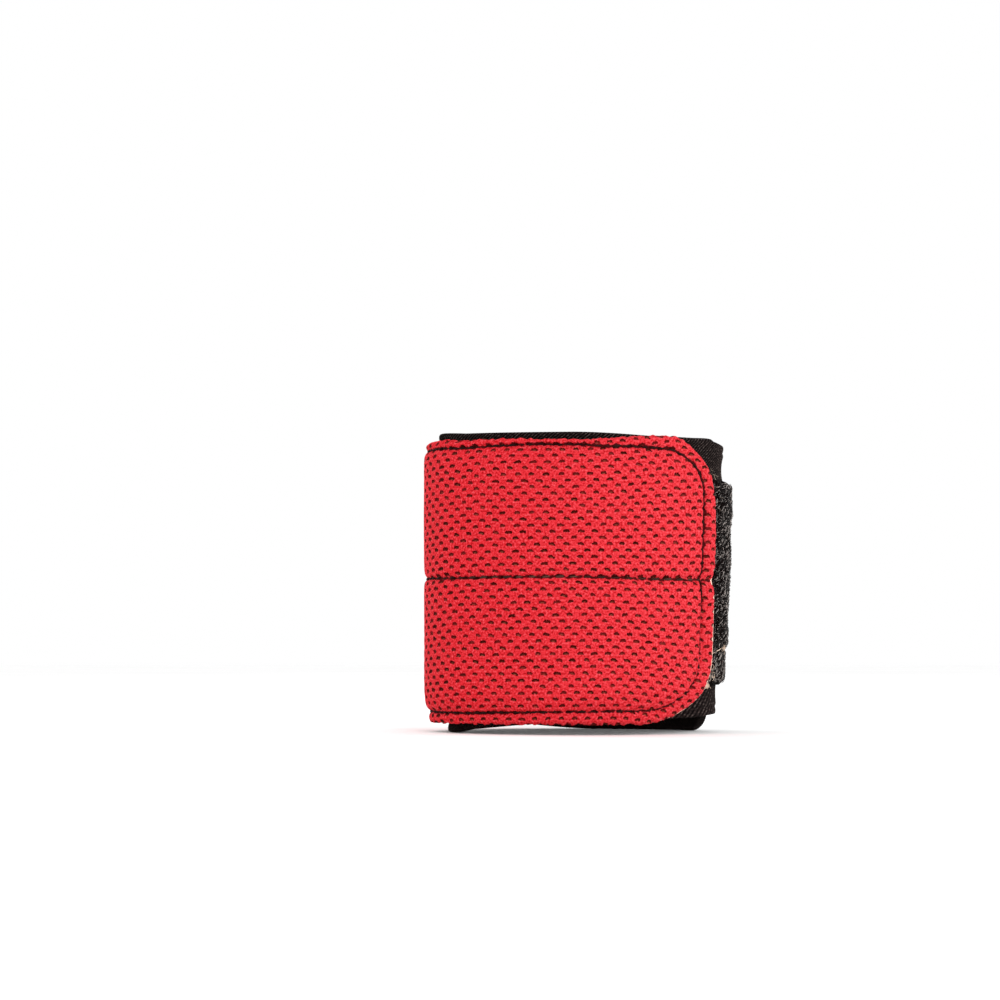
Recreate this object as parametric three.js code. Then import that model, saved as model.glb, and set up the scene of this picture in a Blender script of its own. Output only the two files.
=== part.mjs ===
// Wrist wrap, fastened round and standing on its lower edge.
// A black elastic band makes two turns, a padded red mesh flap is sewn to the band's outer end,
// and a hook patch under the flap grips a loop patch on the band.
// Millimetres and degrees, +Z up. A turn of 0 faces the front (-Y) and 90 faces the right (+X).
// Turns grow along the wrap, from the band's inner end to the flap's free end.

import * as THREE from 'three';

const { clamp, degToRad, lerp, smoothstep } = THREE.MathUtils;

// The oval opening inside the wrap: two side arcs and two flatter face arcs.
const OPENING = { halfWidth: 28.8, halfDepth: 19.5, sideRadius: 14 };
// Where the oval's middle lies, so that the whole wrap's footprint is centred on the origin.
const OVAL_CENTRE = { x: 0.12, y: 2.58 };
// The right side leans out by this much for each millimetre of height above the level.
const LEAN = 0.035;
const LEAN_LEVEL = 34;

// Clearance between pieces that lie on each other.
const GAP = 0.3;

// Elastic band
const BAND = { width: 63.5, thick: 1.8, innerEnd: -830, outerEnd: -150, lapStart: -512, lapEnd: -472 };
const BAND_LAP = BAND.thick + GAP;
// Height of the band's lower edge as it winds round.
const BAND_CLIMB = [
  { turn: -830, low: 0 },
  { turn: -745, low: 0 },
  { turn: -695, low: 3.9 },
  { turn: -650, low: 4.4 },
  { turn: -600, low: 0 },
  { turn: -550, low: 0 },
  { turn: -455, low: 6.0 },
  { turn: -365, low: 4.3 },
  { turn: -330, low: 3.5 },
  { turn: -285, low: 4.1 },
  { turn: -150, low: 3.0 },
];

// Loop patch on the outside of the band, pressed thin where the flap covers it.
const LOOP = { low: 10.9, high: 57.9, start: 4, end: 150, pressed: 1.3, proud: 2.2 };
const LOOP_RELEASE = { start: 38, end: 54 };
const LOOP_RIM = { inset: 1.6, share: 0.55 };

// Hook patch sewn under the flap's free end.
const HOOK = { low: 12.5, high: 56.3, start: 9, end: 36, thick: 1.0 };

// Padded mesh flap
const FLAP = { low: 2.3, root: -166, freeEnd: 41.5 };
// Heights of the flap's seam and upper edge as it goes round.
const FLAP_LINES = [
  { turn: -110, seam: 35.5, high: 66.8 },
  { turn: -8, seam: 35.0, high: 65.8 },
  { turn: 24, seam: 34.5, high: 67.0 },
];
// Rounded corners of the free end: reach along the flap, and rise across it.
const UPPER_CORNER = { reach: 12.5, rise: 18 };
const LOWER_CORNER = { reach: 17, rise: 15.5 };
// Thickness of the padding by its distance from the edge. The dip is the hem's stitch line.
const PAD_PROFILE = [
  { inset: 0, thick: 1.3 },
  { inset: 1.2, thick: 2.5 },
  { inset: 2.4, thick: 2.1 },
  { inset: 6, thick: 3.0 },
  { inset: 9, thick: 3.2 },
  { inset: 17, thick: 3.0 },
];
const SEAM_DIP = { depth: 0.5, reach: 2.6 };
// The seam draws the free end in where it runs off it.
const SEAM_NOTCH = { depth: 1.1, reach: 3.2, fade: 9 };
// Rows across each half of the flap, from the seam (0) to the edge (1).
const HALF_ROWS = [0.08, 0.2, 0.4, 0.6, 0.7, 0.8, 0.9, 0.95, 1];
// The flap climbs onto the two patches, and its edges sag past them.
const FLAP_CLIMB = { start: -80, end: 3 };
const PATCH_STACK = LOOP.pressed + GAP + HOOK.thick + GAP;
const EDGE_SAG = { margin: 0.6, reach: 7.7, keep: 0.25 };

const STEP = 5;
const CORNER_STEPS = 7;

const FINISH = {
  elastic: { color: 0x17151a, roughness: 0.85 },
  loop: { color: 0x1f1d20, roughness: 0.95 },
  hook: { color: 0x141316, roughness: 0.7 },
  mesh: { color: 0xd8202f, roughness: 0.8 },
};

// The oval's arcs meet where their radii line up.
const sideCentre = OPENING.halfWidth - OPENING.sideRadius;
const faceRadius = (sideCentre ** 2 + OPENING.halfDepth ** 2 - OPENING.sideRadius ** 2)
  / (2 * (OPENING.halfDepth - OPENING.sideRadius));
const faceCentre = faceRadius - OPENING.halfDepth;
const cornerAngle = Math.atan2(sideCentre, faceCentre);

// The point at a turn of the wrap, an offset outside the opening and a height.
function wrapPoint(turn, offset, height) {
  const angle = degToRad(turn);
  const outX = Math.sin(angle);
  const outY = -Math.cos(angle);
  const onFace = Math.abs(outY) > Math.cos(cornerAngle);
  const radius = (onFace ? faceRadius : OPENING.sideRadius) + offset;
  const x = (onFace ? 0 : Math.sign(outX) * sideCentre) + radius * outX;
  const y = (onFace ? -Math.sign(outY) * faceCentre : 0) + radius * outY;
  const rightShare = 0.5 + (0.5 * x) / OPENING.halfWidth;
  const lean = LEAN * (height - LEAN_LEVEL) * rightShare;
  return new THREE.Vector3(OVAL_CENTRE.x + x + lean, OVAL_CENTRE.y + y, height);
}

// Reads a column of a table at a place between its rows, easing from row to row.
function readTable(table, key, column, at) {
  const next = table.findIndex((row) => row[key] >= at);
  if (next === 0) return table[0][column];
  if (next < 0) return table[table.length - 1][column];
  const share = smoothstep(at, table[next - 1][key], table[next][key]);
  return lerp(table[next - 1][column], table[next][column], share);
}

function turns(start, end, step) {
  const count = Math.ceil((end - start) / step);
  return Array.from({ length: count + 1 }, (_, i) => lerp(start, end, i / count));
}

// A strip of cloth: a flat slab whose corners are moved to place(station, row, side).
// Side is 0 on the inner face and 1 on the outer face.
function strip(stations, rows, place) {
  const along = stations.length - 1;
  const across = rows.length - 1;
  const slab = new THREE.BoxGeometry(1, 1, 1, along, across, 1);
  const position = slab.getAttribute('position');
  for (let i = 0; i < position.count; i += 1) {
    const station = stations[Math.round((position.getX(i) + 0.5) * along)];
    const row = rows[Math.round((position.getY(i) + 0.5) * across)];
    const point = place(station, row, position.getZ(i) + 0.5);
    position.setXYZ(i, point.x, point.y, point.z);
  }
  slab.computeVertexNormals();
  return slab;
}

function cloth(name, geometry, finish) {
  const mesh = new THREE.Mesh(geometry, new THREE.MeshStandardMaterial(finish));
  mesh.name = name;
  return mesh;
}

// The band lines the opening on its first turn and lies on itself on its second.
function bandOffset(turn) {
  return BAND_LAP * smoothstep(turn, BAND.lapStart, BAND.lapEnd);
}

function elasticBand() {
  const rows = [0, 0.25, 0.5, 0.75, 1];
  return strip(turns(BAND.innerEnd, BAND.outerEnd, STEP), rows, (turn, row, side) => {
    const low = readTable(BAND_CLIMB, 'turn', 'low', turn);
    return wrapPoint(turn, bandOffset(turn) + side * BAND.thick, low + row * BAND.width);
  });
}

// The patches and the flap lie on the band's second turn.
const ON_BAND = 2 * BAND_LAP;

// The length along the flap from the front to a turn within half a turn of it.
function flapLength(turn) {
  const angle = Math.abs(degToRad(turn));
  const onFaces = Math.min(angle, cornerAngle) + Math.max(angle - (Math.PI - cornerAngle), 0);
  const onSide = angle - onFaces;
  const length = onFaces * (faceRadius + ON_BAND) + onSide * (OPENING.sideRadius + ON_BAND);
  return Math.sign(turn) * length;
}

// The turn at a length along the flap, found by halving.
function flapTurn(length) {
  let low = -180;
  let high = 180;
  while (high - low > 1e-6) {
    const middle = (low + high) / 2;
    if (flapLength(middle) < length) low = middle;
    else high = middle;
  }
  return (low + high) / 2;
}

function loopThickness(turn, height) {
  const pile = lerp(LOOP.pressed, LOOP.proud, smoothstep(turn, LOOP_RELEASE.start, LOOP_RELEASE.end));
  const inset = Math.min(height - LOOP.low, LOOP.high - height);
  return pile * lerp(LOOP_RIM.share, 1, clamp(inset / LOOP_RIM.inset, 0, 1));
}

function loopPatch() {
  const rim = LOOP_RIM.inset / (LOOP.high - LOOP.low);
  const rows = [0, rim, 0.2, 0.4, 0.6, 0.8, 1 - rim, 1];
  return strip(turns(LOOP.start, LOOP.end, STEP), rows, (turn, row, side) => {
    const height = lerp(LOOP.low, LOOP.high, row);
    return wrapPoint(turn, ON_BAND + side * loopThickness(turn, height), height);
  });
}

function hookPatch() {
  const seat = ON_BAND + LOOP.pressed + GAP;
  return strip(turns(HOOK.start, HOOK.end, STEP), [0, 0.5, 1], (turn, row, side) => (
    wrapPoint(turn, seat + side * HOOK.thick, lerp(HOOK.low, HOOK.high, row))
  ));
}

// How far the flap's inner face stands off the band: over the patches in the middle, less at its edges.
function flapSeat(turn, height) {
  const past = Math.max(height - LOOP.high, LOOP.low - height) - EDGE_SAG.margin;
  const sag = lerp(1, EDGE_SAG.keep, smoothstep(past, 0, EDGE_SAG.reach));
  return ON_BAND + PATCH_STACK * sag * smoothstep(turn, FLAP_CLIMB.start, FLAP_CLIMB.end);
}

// How far along a corner's quarter ellipse a station lies: 0 at its start, 1 at the free end.
function cornerShare(fromEnd, corner) {
  return clamp(1 - fromEnd / corner.reach, 0, 1);
}

function cornerDrop(fromEnd, corner) {
  return corner.rise * (1 - Math.sqrt(1 - cornerShare(fromEnd, corner) ** 2));
}

// Distance from the flap's outline. In a rounded corner it is measured along the corner's radius.
function flapInset({ fromEnd, fromRoot, seam, high }, height) {
  const upper = height > seam;
  const toEdge = upper ? high - height : height - FLAP.low;
  const corner = upper ? UPPER_CORNER : LOWER_CORNER;
  const u = cornerShare(fromEnd, corner);
  const v = clamp(1 - toEdge / corner.rise, 0, 1);
  if (u === 0 || v === 0) return Math.min(toEdge, fromEnd, fromRoot);
  return Math.hypot(u * corner.reach, v * corner.rise) * (1 / Math.hypot(u, v) - 1);
}

function flapThickness(inset, fromSeam) {
  const pad = readTable(PAD_PROFILE, 'inset', 'thick', Math.max(inset, 0));
  const dip = SEAM_DIP.depth * (1 - smoothstep(fromSeam, 0, SEAM_DIP.reach));
  return pad - dip * smoothstep(pad, PAD_PROFILE[0].thick, PAD_PROFILE.at(-1).thick);
}

// Stations along the flap: close together in the hem at its root and in the rounded corners.
function flapStations() {
  const root = flapLength(FLAP.root);
  const end = flapLength(FLAP.freeEnd);
  const hem = PAD_PROFILE.map(({ inset }) => root + inset);
  const plain = turns(flapTurn(hem.at(-1)), flapTurn(end - LOWER_CORNER.reach), STEP).map(flapLength);
  const corner = Array.from({ length: CORNER_STEPS }, (_, i) => (
    end - LOWER_CORNER.reach * (1 - Math.sin(((i + 1) / CORNER_STEPS) * (Math.PI / 2)))
  ));
  return [...hem.slice(0, -1), ...plain, ...corner].map((length) => ({
    length,
    fromRoot: length - root,
    fromEnd: end - length,
    seam: readTable(FLAP_LINES, 'turn', 'seam', flapTurn(length)),
    high: readTable(FLAP_LINES, 'turn', 'high', flapTurn(length)),
  }));
}

function meshFlap() {
  const rows = [...HALF_ROWS.map((row) => -row).reverse(), 0, ...HALF_ROWS];
  return strip(flapStations(), rows, (station, row, side) => {
    const { length, fromEnd, seam, high } = station;
    const edge = row < 0
      ? FLAP.low + cornerDrop(fromEnd, LOWER_CORNER)
      : high - cornerDrop(fromEnd, UPPER_CORNER);
    const height = lerp(seam, edge, Math.abs(row));
    const fromSeam = Math.abs(height - seam);
    const atSeam = 1 - smoothstep(fromSeam, 0, SEAM_NOTCH.reach);
    const nearEnd = 1 - smoothstep(fromEnd, 0, SEAM_NOTCH.fade);
    const turn = flapTurn(length - SEAM_NOTCH.depth * atSeam * nearEnd);
    const thick = flapThickness(flapInset(station, height), fromSeam);
    return wrapPoint(turn, flapSeat(turn, height) + side * thick, height);
  });
}

const wristWrap = new THREE.Group();
wristWrap.add(
  cloth('elastic_band', elasticBand(), FINISH.elastic),
  cloth('loop_patch', loopPatch(), FINISH.loop),
  cloth('hook_patch', hookPatch(), FINISH.hook),
  cloth('mesh_flap', meshFlap(), FINISH.mesh),
);

export default wristWrap;
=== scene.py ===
# %% [markdown]
# # A padded wrist wrap, made from flat cloth
# The wrap is a black elastic band that winds round twice. A red mesh flap is sewn to its outer end,
# and a hook patch under the flap grips a fuzzy loop patch on the band.
# The CAD frame gives the plain solids. This lesson dresses them as sewn cloth, in the same place.

# %% Load the frame
import math

import bmesh
import bpy
import numpy as np
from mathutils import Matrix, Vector, noise
from mathutils.kdtree import KDTree


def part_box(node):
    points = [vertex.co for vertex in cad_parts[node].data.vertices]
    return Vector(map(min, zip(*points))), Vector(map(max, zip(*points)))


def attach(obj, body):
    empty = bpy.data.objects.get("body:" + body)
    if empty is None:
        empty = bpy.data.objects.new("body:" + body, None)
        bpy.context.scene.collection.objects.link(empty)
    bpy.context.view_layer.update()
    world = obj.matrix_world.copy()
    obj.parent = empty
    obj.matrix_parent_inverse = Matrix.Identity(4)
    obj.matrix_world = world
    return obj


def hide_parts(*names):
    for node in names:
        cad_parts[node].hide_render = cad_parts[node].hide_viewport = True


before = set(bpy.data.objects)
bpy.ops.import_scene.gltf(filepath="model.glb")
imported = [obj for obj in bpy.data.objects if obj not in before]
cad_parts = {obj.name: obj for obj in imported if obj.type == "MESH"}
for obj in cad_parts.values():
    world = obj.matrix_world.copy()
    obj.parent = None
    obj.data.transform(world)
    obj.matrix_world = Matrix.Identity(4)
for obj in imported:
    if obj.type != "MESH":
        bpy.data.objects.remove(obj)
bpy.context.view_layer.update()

print("frame nodes:", sorted(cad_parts))

# %% [markdown]
# ## Flat cloth, bent round an oval
# Sewn things are drawn flat and only then wrapped round, and the same order works here.
# Each piece is drawn flat in millimetres: u runs along the cloth, v is the height above the floor,
# and the third number tells the inner face (0) from the outer face (1).
# Bending afterwards keeps seams and patterns even, which is hard to do on a curved mesh.
# The oval has two flatter arcs and two rounder ones, and a place round it is a turn in degrees.

# %% Ease from one value to the next
TINY = 1e-6


def between(low, high, share):
    """A value that runs from low to high as a share runs from 0 to 1."""
    return low + (high - low) * share


def ease(value, low, high):
    """A smooth step, from 0 at low to 1 at high."""
    share = np.clip((value - low) / (high - low), 0, 1)
    return share * share * (3 - 2 * share)


def read_marks(marks, at):
    """Reads a list of (place, value) marks, easing from each mark to the next."""
    places, values = np.array(marks, dtype=float).T
    first = np.clip(np.searchsorted(places, at) - 1, 0, len(places) - 2)
    return between(values[first], values[first + 1], ease(at, places[first], places[first + 1]))


print(f"a quarter of the way, an eased step has risen by {ease(0.25, 0, 1):.2f}")

# %% Bend a drawing round the wrap
MM = 0.001
HALF_WIDTH = 28.8
HALF_DEPTH = 19.5
SIDE_RADIUS = 14.0
CENTRE_X = 0.12
CENTRE_Y = 2.58
LEAN = 0.035
LEAN_LEVEL = 34.0
SIDE_CENTRE = HALF_WIDTH - SIDE_RADIUS
FACE_RADIUS = (SIDE_CENTRE**2 + HALF_DEPTH**2 - SIDE_RADIUS**2) / (2 * (HALF_DEPTH - SIDE_RADIUS))
FACE_CENTRE = FACE_RADIUS - HALF_DEPTH
ARCS_MEET = math.cos(math.atan2(SIDE_CENTRE, FACE_CENTRE))
RULER_MARKS = 4001


def on_face(turn):
    """True where a turn lies on one of the two flatter arcs."""
    return np.abs(np.cos(np.radians(turn))) > ARCS_MEET


def bend(turn, offset, height):
    """Points in metres. A turn of 0 degrees faces the front and 90 the right, which leans out a little."""
    out_x = np.sin(np.radians(turn))
    out_y = -np.cos(np.radians(turn))
    flatter = on_face(turn)
    radius = np.where(flatter, FACE_RADIUS, SIDE_RADIUS) + offset
    x = np.where(flatter, 0, np.sign(out_x) * SIDE_CENTRE) + radius * out_x
    y = np.where(flatter, -np.sign(out_y) * FACE_CENTRE, 0) + radius * out_y
    lean = LEAN * (height - LEAN_LEVEL) * (0.5 + 0.5 * x / HALF_WIDTH)
    return np.stack([CENTRE_X + x + lean, CENTRE_Y + y, height], axis=1) * MM


def ruler(start, end, offset):
    """Turns from start to end, and the length of cloth in millimetres up to each of them."""
    turns = np.linspace(start, end, RULER_MARKS)
    radius = np.where(on_face(turns[1:]), FACE_RADIUS, SIDE_RADIUS) + offset
    return turns, np.concatenate([[0], np.cumsum(np.radians(np.diff(turns)) * radius)])


print(f"oval of {2 * HALF_WIDTH} x {2 * HALF_DEPTH} mm, flatter arcs of radius {FACE_RADIUS:.1f} mm")

# %% [markdown]
# ## Helpers for cloth
# Four helpers turn a drawing into a piece. One makes a flat grid and one closes it into a slab.
# One keeps the flat drawing as a UV map before it moves the vertices to their places,
# and one adds the piece to the scene.
# With the drawing kept as UVs, a weave can follow the cloth round the wrap.

# %% Draw a flat sheet and close it into a slab
def flat_grid(columns, rows, width, height, corner=(0, 0, 0)):
    """A flat grid of quads with its lower left corner at a given place."""
    flat = bmesh.new()
    bmesh.ops.create_grid(flat, x_segments=columns, y_segments=rows, size=0.5)
    bmesh.ops.translate(flat, verts=flat.verts, vec=(0.5, 0.5, 0))
    bmesh.ops.scale(flat, verts=flat.verts, vec=(width, height, 1))
    bmesh.ops.translate(flat, verts=flat.verts, vec=corner)
    return flat


def thicken(flat):
    """Closes a flat sheet into a slab, with its outer face one unit above the inner one."""
    walls = bmesh.ops.extrude_face_region(flat, geom=flat.faces[:])
    outer = [item for item in walls["geom"] if isinstance(item, bmesh.types.BMVert)]
    bmesh.ops.translate(flat, verts=outer, vec=(0, 0, 1))
    bmesh.ops.recalc_face_normals(flat, faces=flat.faces)


sample = flat_grid(2, 2, 1, 1)
thicken(sample)
print(f"a slab of 2 x 2 cells has {len(sample.faces)} faces")
sample.free()

# %% Make a piece from a flat drawing
UV_NAME = "flat_cloth"


def add_piece(name, mesh, slot, *materials):
    """Adds a mesh to the scene as a piece of the wrap that rides on the frame."""
    mesh.polygons.foreach_set("use_smooth", np.ones(len(mesh.polygons), dtype=bool))
    for material in materials:
        mesh.materials.append(material)
    piece = bpy.data.objects.new(name, mesh)
    bpy.context.scene.collection.objects.link(piece)
    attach(piece, "root")
    triangles = sum(polygon.loop_total - 2 for polygon in mesh.polygons)
    print(f"{name}: {triangles} triangles")
    return piece


def sew(name, flat, place, slot, *materials):
    """Makes a piece of a flat drawing, whose vertices go to place(u, v, layer)."""
    mesh = bpy.data.meshes.new(name)
    flat.to_mesh(mesh)
    flat.free()
    drawn = np.empty(3 * len(mesh.vertices))
    mesh.vertices.foreach_get("co", drawn)
    drawn = drawn.reshape(-1, 3)
    corners = np.empty(len(mesh.loops), dtype=int)
    mesh.loops.foreach_get("vertex_index", corners)
    uv_map = mesh.uv_layers.new(name=UV_NAME)
    uv_map.data.foreach_set("uv", drawn[corners, :2].ravel())
    mesh.vertices.foreach_set("co", place(*drawn.T).ravel())
    mesh.update()
    return add_piece(name, mesh, slot, *materials)


print(f"sewn pieces keep their flat drawing in the UV map {UV_NAME}")

# %% [markdown]
# Threads and fibres are the other kind of thing on this wrap, and there are thousands of them.
# Each starts as the same small bead, a sphere with few faces whose poles become the strand's two ends.
# The copies are joined into one mesh from arrays, so that the whole pile is one piece.

# %% Make many strands from one bead
TINT_NAME = "tint"
STRAND_FULLNESS = 0.2


def strands(name, count, place, slot, material, tints, rings, sides):
    """Joins copies of a bead. place(index, along, side, lift) gives where each vertex goes."""
    bead = bmesh.new()
    bmesh.ops.create_uvsphere(bead, u_segments=sides, v_segments=rings, radius=1)
    spots = np.array([vert.co for vert in bead.verts])
    faces = [[vert.index for vert in face.verts] for face in bead.faces]
    bead.free()
    index = np.repeat(np.arange(count), len(spots))
    x, y, z = np.tile(spots, (count, 1)).T
    full = np.maximum(np.hypot(x, y), TINY) ** (STRAND_FULLNESS - 1)
    along = np.arccos(np.clip(-z, -1, 1)) / math.pi
    points = place(index, along, x * full, y * full)
    starts = range(0, len(points), len(spots))
    copies = [[start + corner for corner in face] for start in starts for face in faces]
    mesh = bpy.data.meshes.new(name)
    mesh.from_pydata(points, [], copies)
    mesh.attributes.new(TINT_NAME, "FLOAT", "POINT").data.foreach_set("value", tints[index])
    return add_piece(name, mesh, slot, material)


print(f"each strand carries one number, its {TINT_NAME}, for its colour")

# %% [markdown]
# ## Shader maths in plain Python
# A fabric pattern is arithmetic on the flat coordinates: which row, which dash, how far from its middle.
# Wired one by one that takes dozens of Math nodes, so one small class wraps a socket and adds them
# whenever Python adds, multiplies or divides two wires.

# %% Wrap sockets so that Python can do arithmetic on them
class Wire:
    """One output socket of a material's node tree."""

    def __init__(self, tree, socket):
        self.tree = tree
        self.socket = socket

    def node(self, kind, settings=None, inputs=None, output=0):
        """Adds any node: its settings first, then the values or wires of its inputs."""
        made = self.tree.nodes.new(kind)
        for key, value in (settings or {}).items():
            setattr(made, key, value)
        for key, value in (inputs or {}).items():
            if isinstance(value, Wire):
                self.tree.links.new(value.socket, made.inputs[key])
            else:
                made.inputs[key].default_value = value
        return Wire(self.tree, made.outputs[output])

    def math(self, operation, *terms):
        """Adds a Math node on numbers and wires."""
        return self.node("ShaderNodeMath", {"operation": operation}, dict(enumerate(terms)))

    def __add__(self, other):
        return self.math("ADD", self, other)

    __radd__ = __add__

    def __sub__(self, other):
        return self.math("SUBTRACT", self, other)

    def __rsub__(self, other):
        return self.math("SUBTRACT", other, self)

    def __mul__(self, other):
        return self.math("MULTIPLY", self, other)

    __rmul__ = __mul__

    def __truediv__(self, other):
        return self.math("DIVIDE", self, other)

    def __rtruediv__(self, other):
        return self.math("DIVIDE", other, self)

    def __mod__(self, other):
        return self.math("FLOORED_MODULO", self, other)

    def __rmod__(self, other):
        return self.math("FLOORED_MODULO", other, self)

    def __abs__(self):
        return self.math("ABSOLUTE", self)

    def floor(self):
        return self.math("FLOOR", self)

    def sine(self):
        return self.math("SINE", self)

    def step(self, low, high):
        """A smooth step, from 0 at low to 1 at high, or the other way round if low is the greater."""
        limits = {"Value": self, "From Min": min(low, high), "From Max": max(low, high)}
        ends = {"To Min": float(low > high), "To Max": float(low < high)}
        return self.node("ShaderNodeMapRange", {"interpolation_type": "SMOOTHSTEP"}, limits | ends)

    def axis(self, number):
        return self.node("ShaderNodeSeparateXYZ", inputs={0: self}, output=number)

    def cloud(self, scale, detail=2.0):
        """Soft noise between about 0.3 and 0.7 over this wire's coordinates."""
        return self.node("ShaderNodeTexNoise", inputs={"Vector": self, "Scale": scale, "Detail": detail})

    def rows(self, first, second, frequency):
        """Rows of small bumps: a wave along one axis times a wave along another."""
        return (self.axis(first) * frequency).sine() * (self.axis(second) * frequency).sine()

    def blend(self, first, second):
        """The first colour where this wire is 0 and the second where it is 1."""
        return self.node("ShaderNodeMix", {"data_type": "RGBA"}, {0: self, 6: first, 7: second}, output=2)

    def bump(self, distance, strength=1.0):
        """A normal bumped by this wire, as a height times the distance in metres."""
        sizes = {"Height": self, "Distance": distance, "Strength": strength}
        return self.node("ShaderNodeBump", inputs=sizes)


print("wires add, subtract, multiply and divide as numbers do")


# %% Start and end a finish
def shade(red, green, blue):
    """A colour as a picture shows it, from 0 to 255, as the linear colour that a shader takes."""
    parts = [part / 255 for part in (red, green, blue)]
    linear = [part / 12.92 if part <= 0.04045 else ((part + 0.055) / 1.055) ** 2.4 for part in parts]
    return (*linear, 1.0)


def new_finish(name, roughness, gloss):
    """A material with two constants set straight on its shader, and a wire to start from."""
    material = bpy.data.materials.new(name)
    material.use_nodes = True
    shader = material.node_tree.nodes["Principled BSDF"]
    shader.inputs["Roughness"].default_value = roughness
    shader.inputs["Specular IOR Level"].default_value = gloss
    return material, Wire(material.node_tree, None)


def apply_finish(material, links):
    """Joins wires to the shader's inputs."""
    tree = material.node_tree
    for key, wire in links.items():
        tree.links.new(wire.socket, tree.nodes["Principled BSDF"].inputs[key])


print(f"a middle grey of 128 is {shade(128, 128, 128)[0]:.2f} in a shader")


# %% Lay a pattern on a finish
def cloth_coords(start, uv_map=UV_NAME):
    """Coordinates from a piece's own UV map. The flat drawing's are in millimetres."""
    return start.node("ShaderNodeUVMap", {"uv_map": uv_map})


def object_coords(start):
    """Coordinates in metres, in the frame of the whole wrap."""
    return start.node("ShaderNodeTexCoord", output="Object")


def stored(start, name):
    """A number that a piece's mesh stores under a name."""
    return start.node("ShaderNodeAttribute", {"attribute_name": name}, output="Fac")


def two_tone_finish(name, roughness, gloss, pattern, span, tones, relief=None):
    """A finish that goes from one tone to another as pattern(start) rises over a span, raised by a relief."""
    material, start = new_finish(name, roughness, gloss)
    value = pattern(start)
    links = {"Base Color": value.step(*span).blend(*tones)}
    if relief:
        links["Normal"] = value.bump(relief)
    apply_finish(material, links)
    return material


print("patterns can follow the flat cloth, the whole wrap or a number stored on a mesh")

# %% [markdown]
# ## The red mesh
# The cover of the flap is a two-tone knitted mesh: bright red with rows of short dark dashes.
# Each dash is a small arch where the darker back of the knit shows through.
# Every second row is shifted by half a step and leans a little.
# A picture of the cloth would do, but a formula has no seams and stays sharp from any distance.
# A second UV map counts the columns and rows of the knit, so a dash's place in its cell gives the dark mask.
# Noise gives each yarn a slightly different red. As painted light and shade, the cloth is a little paler
# towards its free end and a deeper red round the side.

# %% Find the place of a spot in its dash
KNIT_NAME = "knit"
DASH_PITCH = 3.1
DASH_ROW = 1.43
DASH_JITTER = 0.14
DASH_TILT = 0.2
ROW_TILT = 0.16


def dash_spot(start):
    """How far a spot is from its dash's middle, across and up, and three random numbers of that dash."""
    knit_map = cloth_coords(start, KNIT_NAME)
    row = knit_map.axis(1).floor()
    odd = row % 2
    column = knit_map.axis(0) + odd * 0.5
    cell = start.node("ShaderNodeCombineXYZ", inputs={0: column.floor(), 1: row})
    dice_node = start.node("ShaderNodeTexWhiteNoise", {"noise_dimensions": "2D"}, {"Vector": cell}, "Color")
    chances = [dice_node.axis(number) for number in range(3)]
    across = (column % 1 - 0.5) * DASH_PITCH + (chances[0] - 0.5) * DASH_JITTER * 2
    up = (knit_map.axis(1) % 1 - 0.5) * DASH_ROW + (chances[1] - 0.5) * DASH_JITTER
    up = up + across * ((chances[2] - 0.5) * DASH_TILT + odd * ROW_TILT)
    return across, up, chances


print(f"dashes about every {DASH_PITCH} mm, in rows {DASH_ROW} mm apart")

# %% Shape the dashes
DASH_HALF = (0.58, 0.80)
DASH_RISE = 0.31
DASH_ARCH = 0.13
DASH_CROWN = 0.4
DASH_RIM = (1.5, 0.6)
RAGGED_SCALE = 3.2
RAGGED_DEPTH = 4.5
TONGUE_REACH = (0.5, 0.1)
TONGUE_DROP = 0.16
LIP_REACH = (1.0, 0.3)
LIP_DROP = 0.5
BAR_RISE = (0.26, 0.06)
SIDE_SHADE_SPAN = (70.0, 48.0)
SIDE_SHADE_TALLER = 0.28
SIDE_SHADE_SHUT = 0.6


def dash_masks(flat, across, up, chances):
    """Masks of the dashes, of the browner yarn in their middles and of the raised yarn under each, which gets
    a painted highlight.
    """
    # Painted shade: round the side, where the cloth turns away, dashes are drawn taller and wholly dark, as
    # the shaded walls of their dents show.
    side = flat.axis(0).step(*SIDE_SHADE_SPAN)
    bow = across / between(*DASH_HALF, chances[1])
    bow = bow * bow
    tall = (up - DASH_ARCH * (DASH_CROWN - bow)) / (DASH_RISE + DASH_RISE * SIDE_SHADE_TALLER * side)
    ragged = (flat.cloud(RAGGED_SCALE, detail=3.0) - 0.5) * RAGGED_DEPTH
    dash = (bow * bow + tall * tall + ragged).step(*DASH_RIM)
    tongue = abs(across).step(*TONGUE_REACH) * abs(up + TONGUE_DROP).step(*BAR_RISE) * (1 - SIDE_SHADE_SHUT * side)
    lip = abs(across).step(*LIP_REACH) * abs(up + LIP_DROP).step(*BAR_RISE)
    return dash, tongue, lip


print(f"each dash is up to {2 * DASH_HALF[1]} mm wide and about {2 * DASH_RISE} mm high")

# %% Colour the red mesh
THREAD_NAME = "to_thread"
RED_BRIGHT = shade(205, 37, 46)
RED_PAINTED_LIGHT = shade(204, 52, 60)
RED_DEEP = shade(166, 14, 21)
RED_PINK = shade(217, 80, 88)
PAINTED_LIGHT_SPAN = (50.0, 135.0)
DASH_DARK = shade(50, 4, 0)
DASH_MIDDLE = shade(128, 70, 50)
GROOVE_PAINTED_SHADE = shade(38, 4, 3)
GROOVE_SHADE_SPAN = (0.44, 0.18)
GROOVE_SHADE_RAGGED = 1.3
GROOVE_SHADE_GRAIN = 1.0
GROOVE_SHADE_SHARE = 0.92
YARN_SCALE = 2.1
LIP_HIGHLIGHT = 0.05
BRIGHT_SPAN = (0.34, 0.54)
PINK_SPAN = (0.54, 0.7)
PINK_SHARE = 0.9
TONGUE_SHARE = (0.1, 0.85)
DASH_SHARE = (0.85, 1.0)
DASH_ROUGH = (0.78, 0.92)
DASH_SUNK = 0.6
MESH_RELIEF = 0.00026
MESH_RELIEF_SHARE = 0.9


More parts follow.
